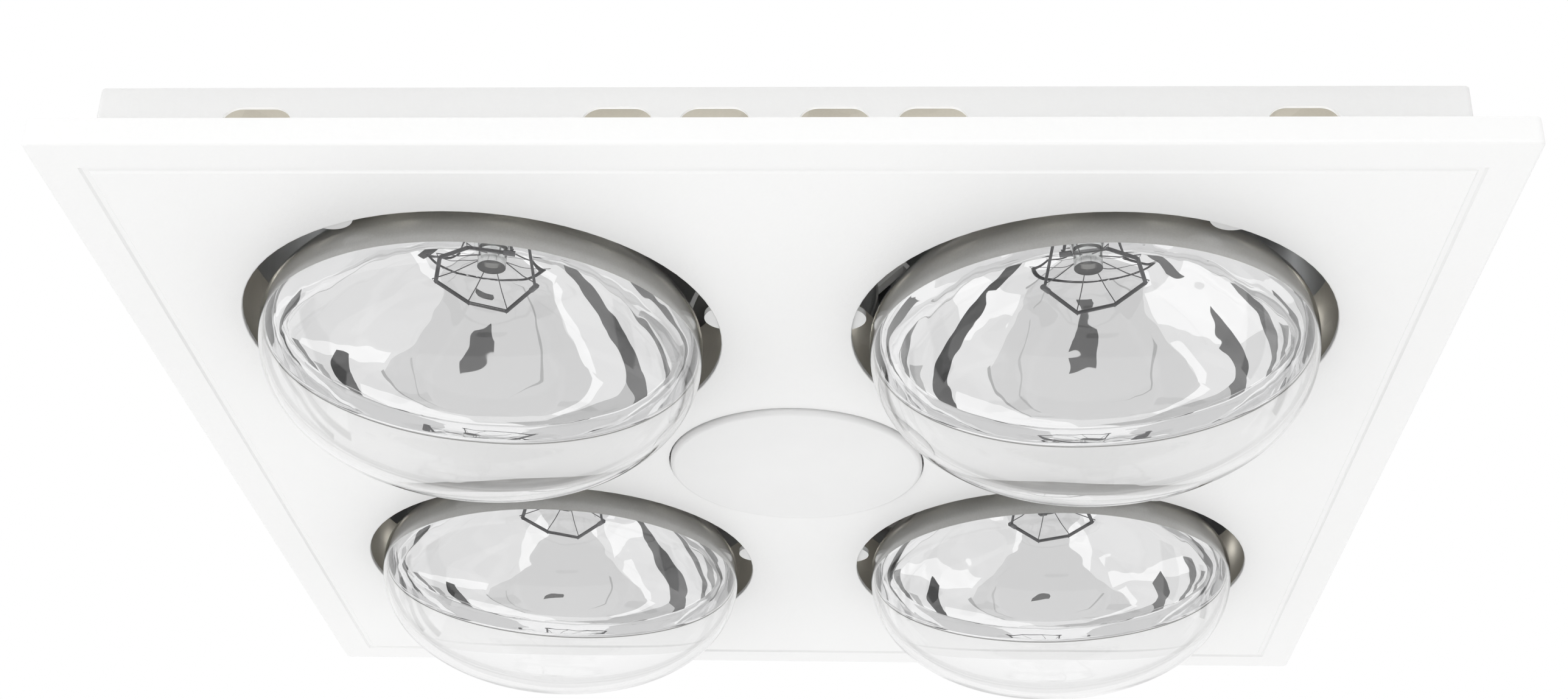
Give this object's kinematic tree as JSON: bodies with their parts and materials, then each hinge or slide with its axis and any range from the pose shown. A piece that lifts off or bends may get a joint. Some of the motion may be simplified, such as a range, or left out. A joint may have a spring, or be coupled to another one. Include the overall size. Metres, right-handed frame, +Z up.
{
  "type": "bathroom ceiling heater",
  "caption": "Square recessed ceiling unit with infrared reflector lamps, a round centre light and a side-ducted exhaust fan behind a white fascia.",
  "frame": {"origin": "centre of the square cut-out, in the plane of the ceiling face that the flange meets", "axes": "+Z up into the roof space, +Y towards the duct spigot, +X to the right seen from the front with the spigot at the back"},
  "size_m": [0.375, 0.4125, 0.2334],
  "materials": {
    "white_paint": "satin powder coat",
    "white_tab": "satin",
    "spring_steel": "polished",
    "galvanised_steel": "galvanised, faint spangle",
    "zinc_screws": "zinc plated",
    "ceramic": "glazed ceramic",
    "brass": "plain",
    "lamp_glass": "clear, hard glass",
    "lamp_mirror": "vapour-deposited aluminium",
    "stem_glass": "clear",
    "tungsten": "drawn wire",
    "lamp_cap": "plain",
    "opal_plastic": "opal, light diffusing",
    "tray_plastic": "moulded",
    "led_board": "white solder mask",
    "led_chip": "phosphor",
    "driver_case": "moulded",
    "fan_plastic": "moulded",
    "impeller_plastic": "moulded",
    "motor_steel": "zinc plated",
    "stator_iron": "laminated",
    "copper_winding": "enamelled copper",
    "bearing_steel": "ground",
    "rotor_steel": "turned",
    "spigot_plastic": "moulded",
    "flap_plastic": "moulded",
    "box_plastic": "moulded",
    "block_plastic": "moulded",
    "gland_plastic": "nylon"
  },
  "bodies": {
    "unit": {"mounting_frame": "white_paint", "heat_shield": "galvanised_steel", "shield_collars": "galvanised_steel", "housing_walls": "galvanised_steel", "housing_lid": "galvanised_steel", "housing_screws": "zinc_screws", "bridge_left": "galvanised_steel", "bridge_right": "galvanised_steel", "holder_screws": "zinc_screws", "socket_shells": "brass", "centre_contacts": "brass", "led_diffuser": "opal_plastic", "led_tray": "tray_plastic", "led_board": "led_board", "led_chips": "led_chip", "light_screws": "zinc_screws", "led_driver": "driver_case", "fan_ring": "fan_plastic", "motor_case": "motor_steel", "motor_stator": "stator_iron", "motor_windings": "copper_winding", "motor_bearings": "bearing_steel", "duct_spigot": "spigot_plastic", "flap_pin": "zinc_screws", "spigot_screws": "zinc_screws", "terminal_box": "box_plastic", "terminal_cover": "box_plastic", "terminal_block": "block_plastic", "terminal_screws": "zinc_screws", "cable_gland": "gland_plastic", "lampholder_1": "ceramic", "lampholder_2": "ceramic", "lampholder_3": "ceramic", "lampholder_4": "ceramic"},
    "fascia": {"fascia": "white_paint", "centring_tabs": "white_tab", "fascia_clips": "spring_steel"},
    "fan_rotor": {"motor_rotor": "rotor_steel", "impeller": "impeller_plastic"},
    "flap": {"backdraft_flap": "flap_plastic"},
    "lamp_1": {"lamp_1_glass": "lamp_glass", "lamp_1_reflector": "lamp_mirror", "lamp_1_stem": "stem_glass", "lamp_1_filament": "tungsten", "lamp_1_cap": "lamp_cap"},
    "lamp_2": {"lamp_2_glass": "lamp_glass", "lamp_2_reflector": "lamp_mirror", "lamp_2_stem": "stem_glass", "lamp_2_filament": "tungsten", "lamp_2_cap": "lamp_cap"},
    "lamp_3": {"lamp_3_glass": "lamp_glass", "lamp_3_reflector": "lamp_mirror", "lamp_3_stem": "stem_glass", "lamp_3_filament": "tungsten", "lamp_3_cap": "lamp_cap"},
    "lamp_4": {"lamp_4_glass": "lamp_glass", "lamp_4_reflector": "lamp_mirror", "lamp_4_stem": "stem_glass", "lamp_4_filament": "tungsten", "lamp_4_cap": "lamp_cap"}
  },
  "joints": [
    {"name": "fascia_drop", "type": "slide", "parent": "unit", "child": "fascia", "axis": [0, 0, -1], "range_m": [0, 0.06]},
    {"name": "lamp_1_turn", "type": "hinge", "parent": "unit", "child": "lamp_1", "pos_m": [-0.087, -0.087, 0.1], "axis": [0, 0, 1], "range_deg": [-720, 0]},
    {"name": "lamp_2_turn", "type": "hinge", "parent": "unit", "child": "lamp_2", "pos_m": [0.087, -0.087, 0.1], "axis": [0, 0, 1], "range_deg": [-720, 0]},
    {"name": "lamp_3_turn", "type": "hinge", "parent": "unit", "child": "lamp_3", "pos_m": [-0.087, 0.087, 0.1], "axis": [0, 0, 1], "range_deg": [-720, 0]},
    {"name": "lamp_4_turn", "type": "hinge", "parent": "unit", "child": "lamp_4", "pos_m": [0.087, 0.087, 0.1], "axis": [0, 0, 1], "range_deg": [-720, 0]},
    {"name": "fan_spin", "type": "hinge", "parent": "unit", "child": "fan_rotor", "pos_m": [0, 0.122, 0.092], "axis": [0, 1, 0], "continuous": true},
    {"name": "flap_swing", "type": "hinge", "parent": "unit", "child": "flap", "pos_m": [0, 0.182, 0.096], "axis": [1, 0, 0], "range_deg": [0, 75]}
  ]
}
